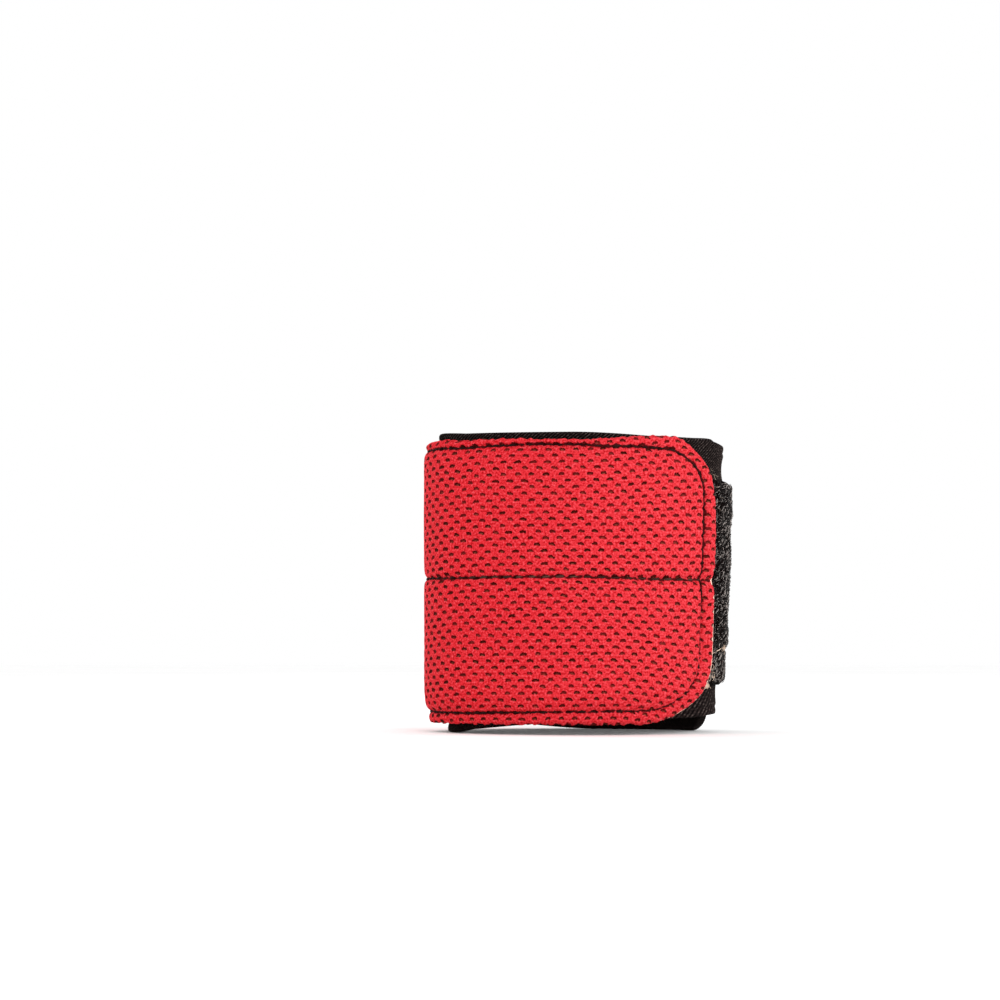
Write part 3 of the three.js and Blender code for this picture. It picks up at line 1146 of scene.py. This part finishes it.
dark_thread = thread_finish("dark_thread", THREAD_DARK, THREAD_HIGHLIGHT)
strands(
    "flap_stitches", stitch_total, stitch_place, "red_mesh", dark_thread, stitch_highlights, rings=8, sides=6
)

# %% [markdown]
# ## The elastic band
# The band is a ribbed black elastic, wound round in two turns. Its ribs lean, and a fold line runs
# beside each edge. The ribs are less than a millimetre wide and are built as geometry:
# the grid's columns lean with them, and each rib is a wave five columns wide.
# A straight grid would need far more faces for the same ribs.
# Marks round the oval say how high the lower edge stands and how far the upper edge dips.

# %% Measure the band
BAND_WIDTH = 63.5
BAND_INNER_END = -830.0
BAND_OUTER_END = -150.0
LAP_START = -512.0
LAP_END = -472.0
BAND_MIDDLE = 2.0
BAND_MARKS = [
    (-830, 0), (-790, 0), (-695, 3.9), (-650, 4.4), (-600, 0), (-550, 0),
    (-455, 6.0), (-365, 4.3), (-330, 3.5), (-285, 4.1), (-150, 3.0),
]
BAND_DIP_MARKS = [(-830, 0), (-318, 0), (-285, 1.0), (-200, 0)]
BAND_TURNS, BAND_LENGTHS = ruler(BAND_INNER_END, BAND_OUTER_END, BAND_MIDDLE)
BAND_LENGTH = BAND_LENGTHS[-1]


def band_bend(u, v, over):
    """Bends spots of the band that stand a height over its inner face."""
    turn = np.interp(u, BAND_LENGTHS, BAND_TURNS)
    height = read_marks(BAND_MARKS, turn) + v * (1 - read_marks(BAND_DIP_MARKS, turn) / BAND_WIDTH)
    return bend(turn, BAND_LAP * ease(turn, LAP_START, LAP_END) + over, height)


print(f"band: {BAND_LENGTH:.1f} x {BAND_WIDTH} mm")

# %% Give the band its ribs
RIB_PITCH = 0.85
RIB_COLUMNS = 5
RIB_RELIEF = 0.08
RIB_LEAN = 1.1
RIB_FADE = 60.0
EDGE_ROWS = [0, 0.15, 0.45, 0.9, 1.5, 1.8, 2.1, 2.6]
INNER_ROWS = 9
SELVEDGE = 0.7
SELVEDGE_DROP = 0.45
FOLD_LINE = 1.8
FOLD_DEPTH = 0.22
FOLD_WIDTH = 0.35
inner_rows = np.linspace(EDGE_ROWS[-1], BAND_WIDTH - EDGE_ROWS[-1], INNER_ROWS + 2)[1:-1]
band_rows = np.concatenate([EDGE_ROWS, inner_rows, BAND_WIDTH - np.array(EDGE_ROWS[::-1])])
band_columns = round(BAND_LENGTH / RIB_PITCH) * RIB_COLUMNS


def band_slant(column_u, v):
    """How far a leaning rib has drifted along the band. The lean fades out at the two ends."""
    inside = np.minimum(column_u, BAND_LENGTH - column_u)
    return (v - BAND_WIDTH / 2) * RIB_LEAN * ease(inside, 0, RIB_FADE)


def band_surface(v, rib):
    """Heights of the inner and the outer face, which close in at the selvedge and dip at the fold line."""
    inset = np.minimum(v, BAND_WIDTH - v)
    rolled = SELVEDGE_DROP * round_over(inset, SELVEDGE)
    fold = FOLD_DEPTH * hollow(inset - FOLD_LINE, FOLD_WIDTH)
    return rolled, BAND_THICK - rolled - fold + RIB_RELIEF * rib


def band_place(u, v, layer):
    """Leans the columns, raises the ribs and winds the band up."""
    column = np.round(u / BAND_LENGTH * band_columns)
    rib = np.cos(2 * math.pi * column / RIB_COLUMNS)
    inner, outer = band_surface(v, rib)
    return band_bend(u + band_slant(u, v), v, np.where(layer > 0.5, outer, inner))


print(f"{band_columns // RIB_COLUMNS} ribs, {RIB_PITCH} mm apart")

# %% Finish and wind the elastic band
ELASTIC_DARK = shade(6, 2, 2)
ELASTIC_MID = shade(33, 26, 25)
ELASTIC_LIGHT = shade(86, 76, 72)
RIB_SHARE = 0.5
SPECK_SHARE = 3.0
SPECK_SCALE = 2.4
CREST_MID = (-0.5, 0.4)
CREST_LIGHT = (0.35, 1.1)
CREST_RELIEF_SHARE = 0.9


def elastic_finish():
    material, start = new_finish("elastic", roughness=0.8, gloss=0.03)
    flat = cloth_coords(start)
    ribs = (flat.axis(0) * (2 * math.pi / RIB_PITCH) + math.pi / 2).sine()
    crest = ribs * RIB_SHARE + (flat.cloud(SPECK_SCALE) - 0.5) * SPECK_SHARE
    colour = crest.step(*CREST_MID).blend(ELASTIC_DARK, ELASTIC_MID)
    colour = crest.step(*CREST_LIGHT).blend(colour, ELASTIC_LIGHT)
    apply_finish(material, {"Base Color": colour, "Normal": crest.bump(FINE_RELIEF, CREST_RELIEF_SHARE)})
    return material


band_flat = flat_grid(band_columns, len(band_rows) - 1, BAND_LENGTH, len(band_rows) - 1)
thicken(band_flat)
for vert in band_flat.verts:
    vert.co.y = band_rows[round(vert.co.y)]
band = sew("elastic_band_cloth", band_flat, band_place, "elastic", elastic_finish())
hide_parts("elastic_band")

# %% [markdown]
# ## The loop patch
# The loop patch is the fuzzy half of a hook and loop fastening: a napped cloth thick with tiny nylon loops.
# It has a rounded border and a crease across it where it was sewn down.
# A bumpy base gives it its lumps, and thousands of small arched strands on top give it the fuzz
# and its rough outline.

# %% Measure the loop patch
LOOP_START = 4.0
LOOP_END = 150.0
LOOP_PRESSED = 1.3
LOOP_PROUD = 2.0
RELEASE_START = 38.0
RELEASE_END = 54.0
LOOP_BORDER = 1.6
LOOP_BORDER_SHARE = 0.25
LOOP_LUMPS = 0.2
LOOP_LUMP_SIZE = 1.5
LOOP_WAVES = 0.45
LOOP_WAVE_SIZE = 6.0
LOOP_THIN = 0.45
CREASE_MARKS = [(45, 17.6), (72, 19.4), (150, 19.0)]
CREASE_DEPTH = 0.6
CREASE_WIDTH = 0.7
LOOP_HEIGHT = LOOP_HIGH - LOOP_LOW
LOOP_TURNS, LOOP_LENGTHS = ruler(LOOP_START, LOOP_END, ON_BAND)
LOOP_LENGTH = LOOP_LENGTHS[-1]


def loop_bend(u, v, over):
    """Bends spots of the loop patch that stand a height over the band."""
    return bend(np.interp(u, LOOP_LENGTHS, LOOP_TURNS), ON_BAND + over, v)


def loop_surface(u, v):
    """Height of the pile's base: pressed flat under the flap, proud and lumpy where it is bare."""
    turn = np.interp(u, LOOP_LENGTHS, LOOP_TURNS)
    free = ease(turn, RELEASE_START, RELEASE_END)
    from_crease = v - read_marks(CREASE_MARKS, turn)
    inset = np.minimum(np.minimum(v - LOOP_LOW, LOOP_HIGH - v), LOOP_LENGTH - u)
    border = between(LOOP_BORDER_SHARE, 1, np.sin(np.clip(inset / LOOP_BORDER, 0, 1) * math.pi / 2))
    lumps = LOOP_LUMPS * rough(u, v, LOOP_LUMP_SIZE) + LOOP_WAVES * rough(u, v, LOOP_WAVE_SIZE)
    crease = CREASE_DEPTH * hollow(from_crease, CREASE_WIDTH)
    nap = between(LOOP_PRESSED, LOOP_PROUD, free)
    nap = nap - LOOP_THIN * free * ease(-from_crease, 0, CREASE_WIDTH)
    return nap * border + (lumps - crease) * free


def loop_place(u, v, layer):
    """Lays the base on the band and raises its outer face."""
    return loop_bend(u, v, layer * loop_surface(u, v))


print(f"loop patch: {LOOP_LENGTH:.1f} x {LOOP_HEIGHT:.1f} mm")

# %% Lay the base of the loop patch
LOOP_CELL = 0.7
FUZZ_SCALE = 2.6
FUZZ_RELIEF = 0.0004
PILE_DARK = shade(6, 2, 2)
PILE_MID = shade(18, 11, 10)
pile_base_finish = two_tone_finish(
    "pile_base",
    roughness=0.95,
    gloss=0.02,
    pattern=lambda start: cloth_coords(start).cloud(FUZZ_SCALE, detail=4.0),
    span=(0.4, 0.7),
    tones=(PILE_DARK, PILE_MID),
    relief=FUZZ_RELIEF,
)
loop_columns = math.ceil(LOOP_LENGTH / LOOP_CELL)
loop_rows = math.ceil(LOOP_HEIGHT / LOOP_CELL)
loop_flat = flat_grid(loop_columns, loop_rows, LOOP_LENGTH, LOOP_HEIGHT, (0, LOOP_LOW, 0))
thicken(loop_flat)
loop_base = sew("loop_patch_base", loop_flat, loop_place, "loop_pile", pile_base_finish)
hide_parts("loop_patch")

# %% Draw lots for the loops of the pile
PILE_COUNT = 8000
PILE_BARE_FROM = 38.0
PILE_MARGIN = 0.6
PILE_SPAN = (0.7, 1.8)
PILE_RISE = (0.05, 0.35)
PILE_SLANT = 0.6
PILE_TURN = 0.5
PILE_CURL = 0.6
PILE_SINK = 0.12
PILE_HIGHLIGHT_SHARE = 0.36
PILE_HIGHLIGHT_SHARE_LOW = 0.53
PILE_HIGHLIGHT_TINT = (0.3, 1.0)
PILE_TINT_DARK = 0.03
pile_from = np.interp(PILE_BARE_FROM, LOOP_TURNS, LOOP_LENGTHS)
pile_u = dice.uniform(pile_from, LOOP_LENGTH, PILE_COUNT)
pile_v = dice.uniform(LOOP_LOW + PILE_MARGIN, LOOP_HIGH - PILE_MARGIN, PILE_COUNT)
pile_angle = dice.normal(PILE_SLANT, PILE_TURN, PILE_COUNT)
pile_span = dice.uniform(*PILE_SPAN, PILE_COUNT)
pile_rise = dice.uniform(*PILE_RISE, PILE_COUNT)
pile_curl = dice.uniform(-PILE_CURL, PILE_CURL, PILE_COUNT)
# Painted highlight: a share of the black loops, larger below the crease, is tinted pale grey as glints on the
# nylon.
pile_highlight_share = np.where(pile_v < CREASE_MARKS[0][1], PILE_HIGHLIGHT_SHARE_LOW, PILE_HIGHLIGHT_SHARE)
pile_highlighted = dice.random(PILE_COUNT) < pile_highlight_share
pile_highlight_tints = np.where(pile_highlighted, dice.uniform(*PILE_HIGHLIGHT_TINT, PILE_COUNT), PILE_TINT_DARK)
pile_seat = loop_surface(pile_u, pile_v) - PILE_SINK
print(f"{pile_highlighted.sum()} of {PILE_COUNT} loops are bright")

# %% Grow the loops of the pile
PILE_RADIUS = 0.06
FIBRE_GRAIN = 2500.0
FIBRE_SHINE = (0.6, 1.4)
PILE_HIGHLIGHT = shade(176, 166, 160)


def fibre_finish(name, dark, light):
    material, start = new_finish(name, roughness=0.6, gloss=0.3)
    shine = object_coords(start).cloud(FIBRE_GRAIN, detail=1.0)
    tint = stored(start, TINT_NAME) * between(*FIBRE_SHINE, shine)
    apply_finish(material, {"Base Color": tint.blend(dark, light)})
    return material


def strand_spot(u, v, angle, reach, sideways):
    """Moves flat spots by a reach along a direction and some way to its left."""
    spot_u = u + np.cos(angle) * reach - np.sin(angle) * sideways
    return spot_u, v + np.sin(angle) * reach + np.cos(angle) * sideways


def pile_place(index, along, side, lift):
    """Arches a loop over its seat, curled to both ends."""
    angle = pile_angle[index] + pile_curl[index] * (2 * along - 1)
    reach = (along - 0.5) * pile_span[index]
    u, v = strand_spot(pile_u[index], pile_v[index], angle, reach, side * PILE_RADIUS)
    arch = pile_rise[index] * np.sin(math.pi * along)
    return loop_bend(u, v, pile_seat[index] + arch + lift * PILE_RADIUS)


pile_fibre = fibre_finish("pile_fibre", PILE_DARK, PILE_HIGHLIGHT)
strands("loop_patch_pile", PILE_COUNT, pile_place, "loop_pile", pile_fibre, pile_highlight_tints, rings=5, sides=3)

# %% [markdown]
# A line of pale stitches sews the loop patch down along its crease. Loose fibres hang here and there as well:
# at the patch's lower corner beside the flap's rounded end, on the crease and along the patch's upper edge.
# Each tuft is a small bunch of thin strands round one spot, bent at random.

# %% Stitch the crease
CREASE_STITCH = 2.6
CREASE_THREAD = 0.12
CREASE_ARCH = 0.3
CREASE_WANDER = 0.3
CREASE_TINT = (0.2, 0.9)
FIBRE_PALE = shade(250, 222, 196)
FIBRE_BROWN = shade(98, 84, 74)
pale_fibre = fibre_finish("pale_fibre", FIBRE_BROWN, FIBRE_PALE)
crease_u = np.arange(pile_from, LOOP_LENGTH - CREASE_STITCH, CREASE_STITCH)
crease_wander = CREASE_WANDER * dice.uniform(-1, 1, len(crease_u) + 1)
crease_tints = dice.uniform(*CREASE_TINT, len(crease_u))


def crease_place(index, along, side, lift):
    """Lays a stitch along the crease, from one wandering hole to the next."""
    u = crease_u[index] + along * CREASE_STITCH
    v = read_marks(CREASE_MARKS, np.interp(u, LOOP_LENGTHS, LOOP_TURNS)) + side * CREASE_THREAD
    v = v + crease_wander[index] * (1 - along) + crease_wander[index + 1] * along
    arch = CREASE_ARCH * np.sin(math.pi * along)
    return loop_bend(u, v, loop_surface(u, v) + arch + lift * CREASE_THREAD)


strands(
    "crease_stitches", len(crease_u), crease_place, "loop_pile", pale_fibre, crease_tints, rings=8, sides=5
)

# %% Draw lots for the loose fibres
FIBRE_SPAN = (0.7, 1.8)
FIBRE_CURL = 1.5
FIBRE_TINT = (0.5, 1.0)
TUFTS = [
    {"turn": 45.0, "height": 10.7, "seat": 1.8, "spread": 0.4, "rise": 0.6, "pale": 1.0, "count": 26},
    {"turn": 50.0, "height": 13.0, "seat": 1.8, "spread": 0.8, "rise": 0.4, "pale": 0.9, "count": 8},
    {"turn": 70.0, "height": 19.4, "seat": 1.6, "spread": 0.35, "rise": 0.4, "pale": 0.9, "count": 12},
    {"turn": 49.0, "height": 53.0, "seat": 2.0, "spread": 1.8, "rise": 0.3, "pale": 0.3, "count": 6},
    {"turn": 55.0, "height": 57.9, "seat": 0.2, "spread": 0.8, "rise": 0.3, "pale": 0.25, "count": 10},
]
fibre_tuft = np.repeat(np.arange(len(TUFTS)), [tuft["count"] for tuft in TUFTS])
fibre_total = len(fibre_tuft)


def of_tuft(key):
    """One column of the list of tufts, repeated for each fibre."""
    return np.array([tuft[key] for tuft in TUFTS])[fibre_tuft]


fibre_spread = of_tuft("spread")
fibre_u = np.interp(of_tuft("turn"), LOOP_TURNS, LOOP_LENGTHS)
fibre_u = fibre_u + fibre_spread * dice.normal(0, 1, fibre_total)
fibre_v = of_tuft("height") + fibre_spread * dice.normal(0, 1, fibre_total)
fibre_angle = dice.uniform(0, 2 * math.pi, fibre_total)
fibre_span = dice.uniform(*FIBRE_SPAN, fibre_total)
fibre_curl = dice.uniform(-FIBRE_CURL, FIBRE_CURL, fibre_total)
fibre_tint = of_tuft("pale") * dice.uniform(*FIBRE_TINT, fibre_total)
fibre_seat = of_tuft("seat")
fibre_rise = of_tuft("rise")
print(f"{fibre_total} fibres in {len(TUFTS)} tufts")

# %% Scatter the loose fibres
FIBRE_RADIUS = 0.045


def fibre_place(index, along, side, lift):
    """Bends a fibre over its tuft's seat."""
    angle = fibre_angle[index] + fibre_curl[index] * along
    reach = (along - 0.5) * fibre_span[index]
    u, v = strand_spot(fibre_u[index], fibre_v[index], angle, reach, side * FIBRE_RADIUS)
    arch = fibre_rise[index] * np.sin(math.pi * along)
    return loop_bend(u, v, fibre_seat[index] + arch + lift * FIBRE_RADIUS)


strands("loose_fibres", fibre_total, fibre_place, "loop_pile", pale_fibre, fibre_tint, rings=10, sides=4)

# %% [markdown]
# ## The hook patch
# The hook patch is hidden between the flap and the loop patch. Its CAD solid already has the right shape,
# so it stays as it is and only gets a finish: stiff black tape with rows of small bumps.

# %% Finish the hook patch
HOOK_WAVES = 700.0
HOOK_RELIEF = 0.0002
HOOK_DARK = shade(18, 16, 17)
HOOK_LIGHT = shade(44, 40, 41)
hook_tape = two_tone_finish(
    "hook_tape",
    roughness=0.6,
    gloss=0.5,
    pattern=lambda start: object_coords(start).rows(2, 0, 2 * math.pi * HOOK_WAVES),
    span=(-0.5, 0.9),
    tones=(HOOK_DARK, HOOK_LIGHT),
    relief=HOOK_RELIEF,
)
hook_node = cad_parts["hook_patch"]
hook_node.data.materials.clear()
hook_node.data.materials.append(hook_tape)
print(f"{hook_node.name} is finished as {hook_tape.name}")

# %% [markdown]
# ## Camera
# The picture was taken from just above the floor, half a metre away, a little from the left,
# and with the camera tipped up. The wrap therefore sits low and right of the frame's middle,
# and its lower edge shows from slightly above.

# %% Set the camera
SENSOR = 36.0
IMAGE_SIZE = 1000
FOCAL_PIXELS = 2155
HORIZON_ROW = 660
CAMERA_PLACE = (-0.01839, -0.50221, 0.0166)
CLIP_START = 0.01
lens = bpy.data.cameras.new("camera")
lens.sensor_width = SENSOR
lens.lens = FOCAL_PIXELS / IMAGE_SIZE * SENSOR
lens.clip_start = CLIP_START
camera = bpy.data.objects.new("camera", lens)
camera.location = CAMERA_PLACE
tip = math.atan2(HORIZON_ROW - IMAGE_SIZE / 2, FOCAL_PIXELS)
camera.rotation_euler = (math.pi / 2 + tip, 0, 0)
bpy.context.scene.collection.objects.link(camera)
bpy.context.scene.camera = camera
print(f"lens {lens.lens:.1f} mm, tipped up {math.degrees(tip):.2f} degrees")

# %% [markdown]
# ## Floor and light
# The wrap stands on a pale floor in a white room, which lights it evenly from all sides.
# A soft lamp in front and one on each side model the folds and put a thin bright line on the black edges.

# %% Lay the floor
FLOOR_SIZE = 12.0
FLOOR_CELLS = 8
FLOOR_CLOUD = 3.0
FLOOR_PALE = shade(252, 252, 252)
FLOOR_PALER = shade(255, 255, 255)
pale_floor = two_tone_finish(
    "pale_floor",
    roughness=0.9,
    gloss=0.1,
    pattern=lambda start: object_coords(start).cloud(FLOOR_CLOUD),
    span=(0.3, 0.7),
    tones=(FLOOR_PALE, FLOOR_PALER),
)
floor_corner = (-FLOOR_SIZE / 2, -FLOOR_SIZE / 2, 0)
floor_flat = flat_grid(FLOOR_CELLS, FLOOR_CELLS, FLOOR_SIZE, FLOOR_SIZE, floor_corner)
floor_mesh = bpy.data.meshes.new("floor")
floor_flat.to_mesh(floor_mesh)
floor_flat.free()
floor_mesh.materials.append(pale_floor)
floor = bpy.data.objects.new("floor", floor_mesh)
bpy.context.scene.collection.objects.link(floor)
print(f"floor of {FLOOR_SIZE} m")

# %% Light the scene
LIGHT_TARGET = Vector((0, 0, 0.03))
LIGHTS = [
    {"name": "key", "place": (0.42, -1.2, 0.36), "size": 0.5, "power": 7.6},
    {"name": "left", "place": (-1.0, 0.5, 0.4), "size": 0.6, "power": 5.2},
    {"name": "right", "place": (1.1, 0.0, 0.4), "size": 0.6, "power": 3.4},
]
ROOM_WHITE = (1, 1, 1, 1)
ROOM_LIGHT = 1.0
for light in LIGHTS:
    lamp = bpy.data.lights.new(light["name"], "AREA")
    lamp.size = light["size"]
    lamp.energy = light["power"]
    holder = bpy.data.objects.new(light["name"], lamp)
    holder.location = light["place"]
    aim = LIGHT_TARGET - Vector(light["place"])
    holder.rotation_euler = aim.to_track_quat("-Z", "Y").to_euler()
    bpy.context.scene.collection.objects.link(holder)
room = bpy.data.worlds.new("white_room")
room.use_nodes = True
room_light = room.node_tree.nodes["Background"].inputs
room_light["Color"].default_value = ROOM_WHITE
room_light["Strength"].default_value = ROOM_LIGHT
bpy.context.scene.world = room
bpy.context.scene.view_settings.view_transform = "Standard"
print(f"{len(LIGHTS)} lamps in a white room")
